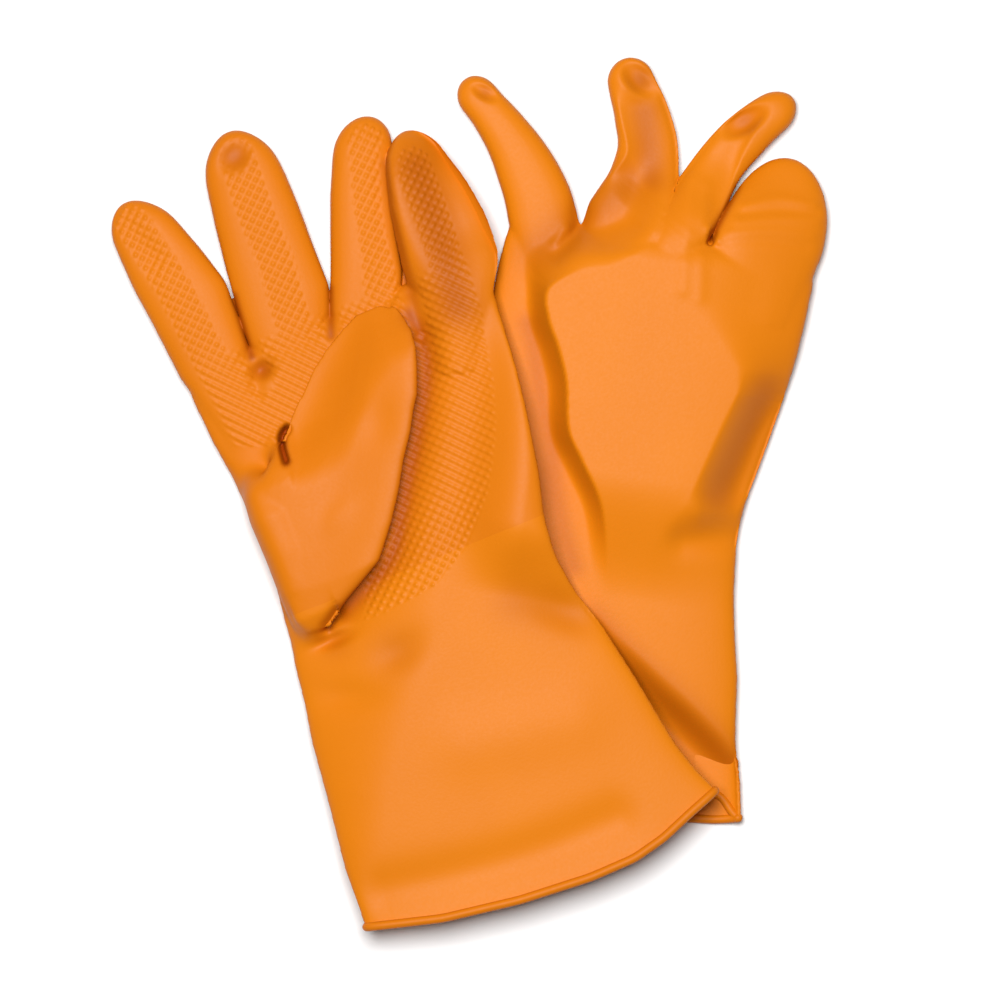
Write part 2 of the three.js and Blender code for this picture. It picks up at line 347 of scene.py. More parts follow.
def addWeb(bm, path, half=3.2):
    sections = []
    beyond = (2 * path[-1][0] - path[-2][0], 2 * path[-1][1] - path[-2][1])
    for (u, v), (nextU, nextV) in zip(path, path[1:] + [beyond]):
        turn = math.degrees(math.atan2(u - nextU, nextV - v))
        sections.append({"middle": (u, v), "half": half, "height": 3, "low": 0.3, "turn": turn})
    addTube(bm, sections, 16)


def leftShape():
    bm = bmesh.new()
    addTube(bm, palmSections(leftPalm), 64)
    addWeb(bm, [(-32, 214), (-31.4, 224), (-31, 230), (-30, 238), (-29.6, 242)])
    addWeb(bm, [(-1, 210), (1, 218), (4, 227)])
    addWeb(bm, [(31, 206), (32.5, 216), (34, 228), (35.5, 236)])
    for digit in leftDigits.values():
        addTube(bm, digitSections(digit, 30))
    flap = []
    for i, v in enumerate(leftFlap["at"]):
        left, right = leftFlap["left"][i], leftFlap["right"][i]
        flap.append({
            "middle": ((left + right) / 2, v), "half": (right - left) / 2, "height": leftFlap["height"][i],
            "low": leftFlap["low"], "thin": leftFlap["thin"][i], "square": 2.3,
        })
    addTube(bm, flap)
    roll = [
        {"middle": (middle, v), "half": half, "height": height, "low": 0.8}
        for v, middle, half, height in zip(*(leftRoll[key] for key in ("at", "middle", "half", "height")))
    ]
    addTube(bm, roll, 24)
    root = [
        {"middle": (middle, v), "half": half, "height": 10, "low": 7}
        for v, middle, half in ((170, -38, 3), (175, -37.5, 4), (180, -36.5, 4), (184.5, -34.5, 3))
    ]
    addTube(bm, root, 16)
    return fused("left_rubber", bm)


# the right glove, back up, underneath

rightPalm = {
    "height": 12,
    "webs": 226,
    "at": [-16, 0, 12, 24, 36, 50, 65, 80, 94, 102, 117, 125, 133, 141, 156, 172, 188, 204, 220, 232],
    "left": [-66, -65.5, -64, -62.5, -61, -59.5, -58, -57, -56.3, -56.2,
             -56.4, -56.5, -57, -57.5, -58, -58.5, -58.5, -58.5, -57, -56],
    "right": [66.5, 65.5, 63.5, 61.5, 59.5, 58, 56.5, 53.2, 50.5, 49.5,
              48, 48.3, 49.2, 51, 54, 57, 59.5, 60.8, 61.5, 62],
}
rightMouth = {
    "at": [-66, 0, 30, 45, 55, 60, 66],
    "edge": [-8, 3, 8, 9.5, 10.5, 11.5, 13],
    "reach": 70,
    "open": 10,
}
rightDigits = {
    "index": {
        "root": (-43, 221), "headings": [18, 24, 33, 42, 49, 50], "length": 66.5, "tip": 8,
        "left": [12.2, 11.3, 10.6, 8.8, 7.3, 6.8], "right": [13.4, 12.9, 10.8, 8.5, 6.9, 6.8],
        "height": [11, 11, 11, 10], "low": [0.3, 0.3], "lean": [0, 0], "tilt": [0, 0],
    },
    "middle": {
        "root": (-12.5, 232), "headings": [-14, -14, -4, 16, 29, 28], "length": 64, "tip": 7,
        "left": [15, 12.4, 12.2, 13.6, 13, 11], "right": [16.4, 14, 10.2, 6.8, 4.6, 3.4],
        "height": [11, 11, 11, 10], "low": [0.3, 0.3], "lean": [0, 0], "tilt": [0, 0],
    },
    "ring": {
        "root": (11.5, 234), "headings": [-16, -22, -26, -34, -42, -45], "length": 61.5, "tip": 8.5,
        "left": [11, 11, 10.3, 9.6, 8.3, 6.5], "right": [8.8, 8.6, 7.2, 7.6, 7, 6],
        "height": [11, 11.5, 11.5, 10], "low": [0.3, 0.3], "lean": [0, 0], "tilt": [0, 0],
    },
    "little": {
        "root": (43, 228), "headings": [-4, -4], "length": 35.5, "tip": 28,
        "left": [21.8, 21, 19, 18.4, 18, 17.8], "right": [19.3, 19.1, 18.4],
        "height": [11, 11, 9], "low": [0.3, 0.3], "lean": [0, 0], "tilt": [0, 0],
    },
}
rightThumb = {
    "root": (-37, 117), "headings": [-27, -30, -34], "length": 117, "tip": 20,
    "left": [4, 15, 21, 22, 19, 16, 15], "right": [4, 15, 21, 22, 19, 16, 15],
    "height": [5, 9, 10, 10, 10, 10], "low": [0.2, 0.2], "lean": [0, 0], "tilt": [0, 0],
}


def rightShape():
    bm = bmesh.new()
    addTube(bm, palmSections(rightPalm), 64)
    addWeb(bm, [(19, 220), (20.2, 229), (22, 236), (24, 243)])
    addWeb(bm, [(4, 226), (4.2, 236), (4.4, 245)])
    for digit in rightDigits.values():
        addTube(bm, digitSections(digit, 28))
    return fused("right_rubber", bm)


meshes = {"left": leftShape(), "right": rightShape()}
print("fused:", {side: len(mesh.vertices) for side, mesh in meshes.items()}, "points")


# which piece each face belongs to, while the glove is still flat

cuffEnd = 122.0  # how far from the mouth the gauntlet gives way to the hand
pieceNames = ("hand", "gauntlet", "thumb", *fingers)
cutBefore = 5.0  # a finger's piece starts this far before its bend line


def digitAxis(side, name):
    joint = joints[f"{side}_{name}_bend"]
    place = toRow[side].inverted() @ (Vector(joint["pos_m"]) * 1000)
    axis = toRow[side].inverted().to_3x3() @ Vector(joint["axis"])
    return place, Vector((-axis.y, axis.x, 0)).normalized()


def digitSpines(digits):
    return {name: np.array([s["middle"] for s in digitSections(digit, 10)]) for name, digit in digits.items()}


spines = {"left": digitSpines(leftDigits), "right": digitSpines(rightDigits)}


def onFlap(points):
    between = (points[:, 0] > leftFlap["from"]) & (points[:, 0] < leftFlap["to"])
    return (points[:, 2] > leftFlap["above"]) & between


def markPieces(side, mesh):
    centres = np.empty(len(mesh.polygons) * 3)
    mesh.polygons.foreach_get("center", centres)
    centres = centres.reshape(-1, 3)
    piece = np.zeros(len(centres), np.int32)
    gaps = np.stack([toPath(centres, spines[side][name])[0] for name in fingers])
    nearestDigit = gaps.argmin(0)
    for i, name in enumerate(fingers):
        place, ahead = digitAxis(side, name)
        past = (centres[:, 0] - place.x) * ahead.x + (centres[:, 1] - place.y) * ahead.y
        piece[(nearestDigit == i) & (past > -cutBefore)] = pieceNames.index(name)
    if side == "left":
        piece[onFlap(centres) & (centres[:, 1] < 221)] = pieceNames.index("thumb")
    inCuff = (centres[:, 1] < cuffEnd) & (piece != pieceNames.index("thumb"))
    piece[inCuff] = pieceNames.index("gauntlet")
    layer = mesh.attributes.new("piece", "INT", "FACE")
    layer.data.foreach_set("value", piece)


for side, mesh in meshes.items():
    markPieces(side, mesh)


# opening the mouth, and giving it its curve

def openMouth(mesh):
    bm = bmesh.new()
    bm.from_mesh(mesh)
    everything = bm.verts[:] + bm.edges[:] + bm.faces[:]
    bmesh.ops.bisect_plane(bm, geom=everything, plane_co=(0, 0, 0), plane_no=(0, -1, 0), clear_outer=True)
    bm.to_mesh(mesh)
    bm.free()


def curveMouth(co, mouth, height):
    ends = 1 - smooth(co[:, 1], 0, mouth["reach"])
    edge = np.interp(co[:, 0], mouth["at"], mouth["edge"])
    topSide = smooth(co[:, 2], height * 0.35, height * 0.9)
    corner = smooth(co[:, 0], 20, 50) * (1 - smooth(co[:, 0], 56, 66))
    back = mouth["open"] * topSide * corner
    co[:, 1] += ends * edge + (1 - smooth(co[:, 1], 0, 40)) * back


for side, mesh in meshes.items():
    openMouth(mesh)
    co = coordinates(mesh)
    curveMouth(co, leftMouth if side == "left" else rightMouth, layers["hand"])
    setCoordinates(mesh, co)
print("mouths open")


# the hollows, folds and ridges of the rubber

plateau = {  # the back of the right hand, held up by the thumb under it
    "edge": [(4, 40), (3.5, 82), (1.5, 95.5), (-2, 112.5), (-6.5, 125), (-15.5, 138.5), (-22, 149), (-25.5, 166),
             (-30.5, 178.5), (-36, 189), (-38, 200), (-27, 209), (-13, 213.5), (0, 225.5), (4, 247.5), (6, 265)],
    "rise": 11,
    "slope": 7.5,
    "wrist": (88, 135),
    "rightAt": [100, 128, 140, 158, 172, 182, 192, 206],
    "rightStart": [10, 26, 30, 35, 39, 37, 28, 14],
    "rightWidth": [50, 20, 17, 16, 17, 25, 42, 64],
    "fingers": (226, 262),
}


def rightRise(co):
    dist, side, _ = toPath(co, plateau["edge"])
    front = smooth(co[:, 1], 196, 216)
    t = np.clip(np.where(side > 0, dist, 0) / (plateau["slope"] + 9 * front), 0, 1)
    inside = (1 - front) * (1 - t) ** 2 * (1 + 0.6 * t) + front * (1 - t * t * (3 - 2 * t))
    start = np.interp(co[:, 1], plateau["rightAt"], plateau["rightStart"])
    width = np.interp(co[:, 1], plateau["rightAt"], plateau["rightWidth"])
    sides = 1 - smooth(co[:, 0] - start, 0, width)
    ends = smooth(co[:, 1], *plateau["wrist"]) * (1 - smooth(co[:, 1], *plateau["fingers"]))
    return plateau["rise"] * inside * sides * ends


def leftRise(co):
    row = moved(toRow["left"], co)
    own = moved(toRow["right"].inverted(), row)
    edge = np.interp(own[:, 1], rightPalm["at"], rightPalm["left"])
    over = smooth(own[:, 0] - edge, -layers["approach"], -layers["gap"])
    return (layers["hand"] + layers["gap"]) * over + overThumb(own[:, 0], own[:, 1])


def swell(mesh, side, digits, amount=0.75):
    co = coordinates(mesh)
    normals = normalsOf(mesh)
    grown = np.zeros(len(co))
    for name, digit in digits.items():
        dist, _, _ = toPath(co, spines[side][name])
        grown = np.maximum(grown, (dist < 24) * smooth(co[:, 1], digit["root"][1] - 4, digit["root"][1] + 4))
    normals[:, 2] *= 0.2
    setCoordinates(mesh, co + normals * (amount * grown)[:, None])


def soften(mesh, path, width, rounds):
    co = coordinates(mesh)
    dist, _, _ = toPath(co, path)
    share = (np.clip(normalsOf(mesh)[:, 2] * 2 + 1, 0, 1) * np.exp(-((dist / width) ** 2)))[:, None]
    ends = np.empty(len(mesh.edges) * 2, np.int32)
    mesh.edges.foreach_get("vertices", ends)
    a, b = ends.reshape(-1, 2).T
    count = np.bincount(a, minlength=len(co)) + np.bincount(b, minlength=len(co))
    for _ in range(rounds):
        mean = np.stack([
            np.bincount(a, co[b, axis], len(co)) + np.bincount(b, co[a, axis], len(co)) for axis in range(3)
        ], 1) / count[:, None]
        co += (mean - co) * share * 0.7
    setCoordinates(mesh, co)


# painted shade: a per-point strength, highest along the given paths, that darkens the rubber's colour where shade
# falls in hollows, creases and folds, weaker on steep and downward faces
def addPaintedShade(mesh, co, strokes):
    depth = np.zeros(len(co))
    for path, width, amount in strokes:
        if len(path) > 1:
            dist, _, _ = toPath(co, path)
        else:
            dist = np.hypot(co[:, 0] - path[0][0], co[:, 1] - path[0][1])
        depth = np.maximum(depth, amount * np.exp(-((dist / width) ** 2)))
    depth *= np.clip(normalsOf(mesh)[:, 2] * 1.6 + 0.3, 0, 1)
    layer = mesh.attributes.new("painted_shade", "FLOAT", "POINT")
    layer.data.foreach_set("value", depth.astype(np.float32))


rightPaintedShade = [  # path, width and strength of the painted shade in hollows and on folds
    ([(-43, 186), (-39.5, 177), (-33, 155), (-28, 143.5), (-25, 130), (-20, 114.5), (-12.5, 97.5)], 4.5, 0.35),
    ([(-2, 76), (14, 64), (30, 53), (45, 43), (58, 33)], 7, 0.5),
    ([(50, 175), (46, 158), (41, 143), (38, 133)], 7, 0.3),
    ([(-14, 245), (-22, 236), (-32, 226), (-42, 214)], 9, 0.35),
    ([(-12, 272), (-8, 258), (-6, 248)], 6, 0.42),
    ([(20, 229), (27, 250)], 1.6, 0.8),
    ([(-30.5, 232), (-33, 222)], 3, 0.4),
    ([(-73.5, 270)], 3, 0.3),
    ([(-16, 284.5)], 5, 0.45),
    ([(26, 275)], 5, 0.35),
]
# painted shade on the left glove: the slit at the thumb's root, the finger crotches, the little finger's pad and
# edge, the hollow beside the thumb and the pressed-in tips
leftPaintedShade = [
    ([(-30, 188.5), (-32.5, 186.5), (-34, 182.5), (-34.5, 177)], 1.7, 1.0),
    ([(-29.6, 243), (-31, 229), (-32, 219)], 1.6, 0.7),
    ([(-30, 213)], 3.6, 0.6),
    ([(5.5, 232), (-1, 215)], 1.5, 0.6),
    ([(53, 262), (52, 245), (50, 225), (48, 208)], 9, 0.5),
    ([(43, 268), (38.5, 248), (35, 230), (32, 208)], 2.4, 0.4),
    ([(-36, 116), (-13, 127), (-2, 141), (5, 152), (15, 167), (23.5, 181), (28.5, 191), (31, 203), (30, 211)],
     3.6, 0.65),
    ([(-43, 113), (-36, 118)], 2.6, 0.6),
    ([(-43, 107)], 6, 0.25),
    ([(-22, 94)], 10, 0.2),
    ([(43, 84), (28, 95)], 10, 0.22),
    ([(-9.5, 292)], 5, 0.4),
]


def shapeRight(mesh):
    swell(mesh, "right", rightDigits)
    co = coordinates(mesh)
    top = np.clip(normalsOf(mesh)[:, 2] * 1.4, 0, 1)
    # the slopes beside the raised back
    fold(co, top, [(40, 182), (39.5, 173.5), (35, 158), (30, 139.5), (27, 128)], 1, 12, 2.5)
    press(co, top, [(50, 131), (32.5, 125.5)], 4.5, -1.4)
    press(co, top, [(50, 119), (28, 114)], 6, 2.2)
    # the long crease across the gauntlet
    crease = [(-14, 88), (-4, 84), (3, 79.5), (8.5, 75), (20.5, 67.5),
              (29.5, 61.5), (40.5, 54.5), (50.5, 47.5), (60, 41), (72, 33)]
    onCuff = smooth(co[:, 1], 2, 26) * smooth(co[:, 0], -14, 6)
    step(co, top * onCuff, crease, -1, 15, 9)
    # finger tips pressed in
    dimple(co, top, (-73.5, 270.3), (5, 2.4), -20, 1.6)
    dimple(co, top, (-16, 284.5), (7.5, 4.6), -33, 3.2)
    dimple(co, top, (26, 275), (8.5, 4.0), 41, 3.2)
    # folds along the middle and ring fingers
    fold(co, top, [(-25.5, 281), (-20.5, 268), (-16.5, 257), (-19.5, 249.5), (-24.5, 242)], 1, 10, 3.4)
    fold(co, top, [(34, 281), (33.5, 279), (30.5, 272), (27, 262), (24, 247), (20.5, 232.5)], -1, 4, 1.8)
    # between the fingers
    press(co, top, [(-30.5, 232), (-31.5, 222), (-37, 214)], 3.5, 1.8)
    press(co, top, [(-34.5, 224), (-38, 218)], 2.2, -1.3)
    press(co, top, [(9, 250), (10, 238), (12.5, 208)], 3.2, -0.6)
    press(co, top, [(15, 248), (15.5, 236), (19, 206)], 3, -0.5)
    press(co, top, [(18.6, 232), (18.8, 227.6), (20.4, 226.6), (22.2, 228)], 1.8, -1.1)
    press(co, top, [(20.2, 229), (20.6, 231)], 1.1, 3)
    # soft wrinkles across the folded little finger
    for wrinkle, depth in (
        ([(31, 243), (43, 247.5), (57, 247.5)], -0.45),
        ([(30, 239.6), (44, 243.5), (58, 244.5)], 0.4),
        ([(29, 237), (44, 240), (59, 241.5)], -0.4),
        ([(27, 232), (44, 235.5), (58, 236)], -0.35),
        ([(27, 228), (42, 231), (56, 231)], 0.3),
    ):
        press(co, top, wrinkle, 2.2, depth)
    co[:, 2] = np.maximum(co[:, 2], 0.1)
    # painted shade in the right glove's hollows and folds, stored before the glove is lifted
    addPaintedShade(mesh, co, rightPaintedShade)
    co[:, 2] += rightRise(co)
    setCoordinates(mesh, co)


def shapeLeft(mesh):
    swell(mesh, "left", leftDigits)
    soften(mesh, [(-57, 176), (-46, 184), (-36, 187)], 7, 70)
    soften(mesh, [(-60, 112), (-50, 110), (-44, 112)], 5, 40)
    co = coordinates(mesh)
    flap = onFlap(co) & (co[:, 1] > 112) & (co[:, 1] < 222)
    rim, _, _ = toPath(co, leftFlap["rim"])  # the upper edge thins out and lies on the palm
    lying = np.maximum(smooth(rim, 0, 26), 1 - smooth(co[:, 0], -36, -26))
    low, palmTop = leftFlap["low"], leftPalm["height"] + 0.25
    wedge = palmTop + (co[:, 2] - low) * (0.38 + 0.62 * lying) + (low - palmTop) * lying
    co[:, 2] = np.where(flap, wedge, co[:, 2])
    setCoordinates(mesh, co)
    soften(mesh, [(-33.5, 185), (-34, 179)], 4.5, 60)
    co = coordinates(mesh)
    top = np.clip(normalsOf(mesh)[:, 2] * 1.4, 0, 1)
    palm = top * (1 - flap)
    # the little finger lies tipped over the edge of the ring finger
    press(co, palm, [(33, 218), (31.5, 203)], 3.6, 2)
    ridge = [(47, 276), (42.5, 260), (39, 246), (37, 232), (36.5, 218), (38, 196)]
    step(co, palm * smooth(co[:, 1], 204, 236), ridge, 1, 24, 6)
    # between the fingers
    dimple(co, palm, (-29.8, 213), (4.2, 3.4), 20, 3.4, 1.2)
    press(co, palm, [(-31.5, 220), (-33, 214), (-35, 206)], 3, 1.2)
    press(co, palm, [(1, 221), (-1, 215)], 2.2, 1)
    # finger tips pressed in
    dimple(co, palm, (-9.5, 292), (6, 4.6), 20, 2.4, 1.4)
    press(co, palm, [(-57, 283), (-53, 268)], 5, 1.2)
    # the thumb: a slit at its root, a pocket under its edge
    press(co, top, [(-30, 188.5), (-32.5, 186.5), (-34, 182.5), (-34.5, 177.5)], 1.3, 6.5)
    press(co, top, [(-43.5, 113), (-38, 116)], 2.4, 2.6)
    dimple(co, top, (-43, 107.5), (7.5, 2.6), 0, 2.6, 1.2)
    dimple(co, top, (-22, 94), (11, 7), 10, 2.0, 1)
    dimple(co, top, (-47, 86), (12, 6), -20, 1.6, 1)
    dimple(co, top, (43, 84), (14, 7), -40, 2.4, 1)
    press(co, top, [(-60, 12), (-30, 7), (0, 4), (30, 4)], 9, 2.2)
    press(co, top, [(-10, 52), (30, 46)], 13, -1.2)
    dimple(co, top * flap, (4, 178), (9, 7), 60, 1.0, 1)
    dimple(co, top * flap, (-24, 150), (9, 5), 30, -0.8, 1)
    # the hollow beside the thumb
    besideThumb = [(-34, 116), (-12, 126), (-1, 140), (6, 151), (16, 167), (25, 181), (29.5, 191), (32, 200)]
    press(co, palm, besideThumb, 5.5, 2.4)
    co[:, 2] = np.maximum(co[:, 2], 0.1)
    # painted shade in the left glove's hollows and folds, stored before the glove is lifted
    addPaintedShade(mesh, co, leftPaintedShade)
    co[:, 2] += leftRise(co)
    setCoordinates(mesh, co)


shapeRight(meshes["right"])
shapeLeft(meshes["left"])
print("creases and hollows shaped")


# the raised grip on the left glove's palm side

grip = {
    "pitch": 2.85,
    "height": 0.6,
    "turn": -48,
    "padHalf": 6.8,
    "palmAt": [110, 112.5, 122, 138.5, 158.5, 176.5, 184, 190, 195.5, 218.5, 232],
    "palmRight": [-19.5, 0.5, 17.5, 32.5, 43.5, 49.5, 51, 52.5, 53.5, 57, 58],
    "palmLeft": [-30, -28, -24, -20, -20, -22, -37, -50, -51, -52, -52],
    "pads": {
        "index": [(-55.5, 284), (-52.5, 271), (-49.5, 253.5), (-48, 236.5), (-46, 215)],
        "middle": [(-8.5, 292), (-10, 270), (-10, 249.5), (-12, 230), (-13, 215)],
        "ring": [(39, 279), (32.5, 257.5), (27, 235), (24, 226)],
        "little": [(52, 264), (51.5, 244.5), (50, 222), (48.5, 202)],
    },
    "creases": [  # path and half width of the smooth bands between the fingers
        ([(-29.5, 245), (-31, 229.5), (-31, 208)], 3.4),
        ([(5.5, 231), (-1, 213)], 2.6),
        ([(45.5, 272.5), (37, 247.5), (33.5, 221), (31.5, 208)], 3.5),
    ],
}


def gripMask(points, flat):
    pads = np.zeros(len(points))
    for path in grip["pads"].values():
        dist, _, _ = toPath(points, path)
        pads = np.maximum(pads, 1 - smooth(dist, grip["padHalf"] - 1.2, grip["padHalf"] + 0.8))
    u, v = points[:, 0], points[:, 1]
    right = np.interp(v, grip["palmAt"], grip["palmRight"])
    left = np.interp(v, grip["palmAt"], grip["palmLeft"])
    acrossPalm = (1 - smooth(u, right - 1, right + 1)) * smooth(u, left - 1.5, left + 1.5)
    palm = acrossPalm * smooth(v, 109, 112) * (1 - smooth(v, 220, 226))
    crease = np.ones(len(points))
    for path, width in grip["creases"]:
        dist, _, _ = toPath(points, path)
        crease *= smooth(dist, width - 1, width + 1.5)
    tip = smooth(np.hypot(u + 9.5, v - 292), 3, 9)
    return np.maximum(pads, palm) * crease * flat * tip


def gripHeight(points):
    u, v = points[:, 0], points[:, 1]
    waves = []
    for turn in (grip["turn"], grip["turn"] + 90):
        a = math.radians(turn)
        across = (-u * math.sin(a) + v * math.cos(a)) / grip["pitch"]
        waves.append((0.5 + 0.5 * np.cos(2 * math.pi * across)) ** 0.8)
    onPads = smooth(v, 212, 232)
    low = 1 - smooth(v, 128, 150)
    cross = np.clip(0.3 + 0.6 * onPads + 0.6 * low, 0, 0.9)
    along = 0.85 - 0.15 * onPads
    return grip["height"] * (1 - along * waves[0]) * (1 - cross * waves[1])


def thumbPoints(mesh):  # 1 at the points of the folded thumb's faces
    piece = np.empty(len(mesh.polygons), np.int32)
    mesh.attributes["piece"].data.foreach_get("value", piece)
    corner = np.empty(len(mesh.loops), np.int32)
    mesh.loops.foreach_get("vertex_index", corner)
    sizes = np.empty(len(mesh.polygons), np.int32)
    mesh.polygons.foreach_get("loop_total", sizes)
    own = np.zeros(len(mesh.vertices))
    own[corner[np.repeat(piece == pieceNames.index("thumb"), sizes)]] = 1
    return own


def gripShare(mesh):
    facingUp = np.clip((normalsOf(mesh)[:, 2] - 0.25) * 3, 0, 1)
    return gripMask(coordinates(mesh), facingUp * (1 - thumbPoints(mesh)))


def refineGrip(mesh):
    share = gripShare(mesh)
    bm = bmesh.new()
    bm.from_mesh(mesh)
    wanted = [edge for edge in bm.edges if max(share[vert.index] for vert in edge.verts) > 0.02]
    bmesh.ops.subdivide_edges(bm, edges=wanted, cuts=1, use_grid_fill=True)
    bm.to_mesh(mesh)
    bm.free()


def raiseGrip(mesh):
    co = coordinates(mesh)
    lift = gripShare(mesh) * (gripHeight(co) - grip["height"] * 0.35)
    setCoordinates(mesh, co + normalsOf(mesh) * lift[:, None])


refineGrip(meshes["left"])
raiseGrip(meshes["left"])
print("grip raised:", len(meshes["left"].vertices), "points")


# the rubber

rubber = {
    "specular": 0.14,
    "roughness": (0.42, 0.56),
    "cloudScale": 22,  # slow change of colour from the dip
    "grainScale": 900,  # fine grain of the mould
    "grainStrength": 0.12,
    "grainDepth": 0.0004,
    "hollow": (0.42, 0.2, 0),  # painted shade: what is left of each colour in a hollow
}


def rubberSkinGroup():
    group = bpy.data.node_groups.new("rubberSkin", "ShaderNodeTree")
    for name in ("Colour", "Shade", "Painted Shade Colour"):
        group.interface.new_socket(name, in_out="INPUT", socket_type="NodeSocketColor")
    group.interface.new_socket("Grain Scale", in_out="INPUT", socket_type="NodeSocketFloat")
    for name, kind in (("Colour", "NodeSocketColor"), ("Roughness", "NodeSocketFloat"), ("Grain", "NodeSocketFloat")):
        group.interface.new_socket(name, in_out="OUTPUT", socket_type=kind)
    nodes, links = group.nodes, group.links
    given, result = nodes.new("NodeGroupInput"), nodes.new("NodeGroupOutput")
    place = nodes.new("ShaderNodeTexCoord")
    cloud = nodes.new("ShaderNodeTexNoise")
    cloud.inputs["Scale"].default_value = rubber["cloudScale"]
    cloud.inputs["Detail"].default_value = 4
    fine = nodes.new("ShaderNodeTexNoise")
    fine.inputs["Detail"].default_value = 3
    mix, paintedShadeMix = nodes.new("ShaderNodeMix"), nodes.new("ShaderNodeMix")
    mix.data_type = paintedShadeMix.data_type = "RGBA"
    # painted shade: the colour is mixed towards the darker painted shade colour by the per-point attribute
    painted_shade = nodes.new("ShaderNodeAttribute")
    painted_shade.attribute_name = "painted_shade"
    rough = nodes.new("ShaderNodeMapRange")
    rough.inputs["To Min"].default_value, rough.inputs["To Max"].default_value = rubber["roughness"]
    for output, socket in (
        (place.outputs["Object"], cloud.inputs["Vector"]), (place.outputs["Object"], fine.inputs["Vector"]),
        (given.outputs["Grain Scale"], fine.inputs["Scale"]), (cloud.outputs["Fac"], mix.inputs["Factor"]),
        (given.outputs["Shade"], mix.inputs["A"]), (given.outputs["Colour"], mix.inputs["B"]),
        (mix.outputs["Result"], paintedShadeMix.inputs["A"]), (given.outputs["Painted Shade Colour"], paintedShadeMix.inputs["B"]),
        (painted_shade.outputs["Fac"], paintedShadeMix.inputs["Factor"]), (paintedShadeMix.outputs["Result"], result.inputs["Colour"]),
        (fine.outputs["Fac"], rough.inputs["Value"]), (rough.outputs["Result"], result.inputs["Roughness"]),
        (fine.outputs["Fac"], result.inputs["Grain"]),
    ):
        links.new(output, socket)
    return group


rubberSkin = rubberSkinGroup()


def makeRubber(name, colour, shade):
    material = bpy.data.materials.new(name)
    material.use_nodes = True
    nodes, links = material.node_tree.nodes, material.node_tree.links
    shader = nodes["Principled BSDF"]
    shader.inputs["Specular IOR Level"].default_value = rubber["specular"]
    finish = nodes.new("ShaderNodeGroup")
    finish.node_tree = rubberSkin
    finish.inputs["Colour"].default_value = (*colour, 1)
    finish.inputs["Shade"].default_value = (*shade, 1)
    # the painted shade colour: the rubber's colour darkened for hollows and folds
    hollow = [part * left for part, left in zip(colour, rubber["hollow"])]
    finish.inputs["Painted Shade Colour"].default_value = (*hollow, 1)
    finish.inputs["Grain Scale"].default_value = rubber["grainScale"]
    bump = nodes.new("ShaderNodeBump")
    bump.inputs["Strength"].default_value = rubber["grainStrength"]
    bump.inputs["Distance"].default_value = rubber["grainDepth"]
    links.new(finish.outputs["Colour"], shader.inputs["Base Color"])
    links.new(finish.outputs["Roughness"], shader.inputs["Roughness"])
    links.new(finish.outputs["Grain"], bump.inputs["Height"])
    links.new(bump.outputs["Normal"], shader.inputs["Normal"])
    return material


smoothRubber = makeRubber("satinOrangeRubber", (0.665, 0.186, 0.003), (0.61, 0.162, 0.002))
gripRubber = makeRubber("grippedOrangeRubber", (0.63, 0.168, 0.003), (0.58, 0.148, 0.002))
beadRubber = makeRubber("rolledOrangeRubber", (0.62, 0.165, 0.002), (0.56, 0.145, 0.002))


# dividing each glove into its pieces

bead = {"radius": 1.7, "steps": 6, "thick": 0.7}
loops = {}


def mouthLoop(bm):
    found = []
    left = {edge for edge in bm.edges if edge.is_boundary}
    while left:
        edge = left.pop()
        chain = [edge.verts[0], edge.verts[1]]
        while True:
            following = [e for e in chain[-1].link_edges if e in left]
            if not following:
                break
            left.discard(following[0])
            chain.append(following[0].other_vert(chain[-1]))
        found.append([vert.co.copy() for vert in chain])
    long = [loop for loop in found if len(loop) > 60]
    return min(long, key=lambda loop: sum(point.y for point in loop) / len(loop))


def walled(mesh):
    obj = bpy.data.objects.new("wall", mesh)
    bpy.context.scene.collection.objects.link(obj)
    wall = obj.modifiers.new("wall", "SOLIDIFY")
    wall.thickness, wall.offset = bead["thick"] * 0.001, -1
    bpy.context.view_layer.update()
    done = bpy.data.meshes.new_from_object(obj.evaluated_get(bpy.context.evaluated_depsgraph_get()))
    name = mesh.name
    bpy.data.objects.remove(obj)
    bpy.data.meshes.remove(mesh)
    done.name = name
    return done


def dividePieces(side, mesh, material):
    mesh.transform(Matrix.Scale(0.001, 4) @ toRow[side])
    normals = normalsOf(mesh)
    stored = mesh.attributes.new("seamNormal", "FLOAT_VECTOR", "POINT")
    stored.data.foreach_set("vector", normals.astype(np.float32).ravel())
    made = {}
    for index, name in enumerate(pieceNames):
        bm = bmesh.new()
        bm.from_mesh(mesh)
        layer = bm.faces.layers.int["piece"]
        others = [face for face in bm.faces if face[layer] != index]
        bmesh.ops.delete(bm, geom=others, context="FACES")
        if not bm.faces:
            bm.free()
            continue
        if name == "gauntlet":
            loops[side] = mouthLoop(bm)
        part = bpy.data.meshes.new(f"{side}_{name}_rubber")
        bm.to_mesh(part)
        bm.free()
        if name == "gauntlet":
            part = walled(part)
        for polygon in part.polygons:
            polygon.use_smooth = True
        kept = np.empty(len(part.vertices) * 3, np.float32)
        part.attributes["seamNormal"].data.foreach_get("vector", kept)
        kept = kept.reshape(-1, 3)
        found = normalsOf(part)
        inner = (kept * found).sum(1) < 0
        kept[inner] = found[inner]
        part.normals_split_custom_set_from_vertices(kept)
        part.attributes.remove(part.attributes["seamNormal"])
        part.attributes.remove(part.attributes["piece"])
        obj = bpy.data.objects.new(part.name, part)
        bpy.context.scene.collection.objects.link(obj)
        obj.data.materials.append(material)
        made[name] = obj
        print(part.name, len(part.polygons), "faces")
    return made


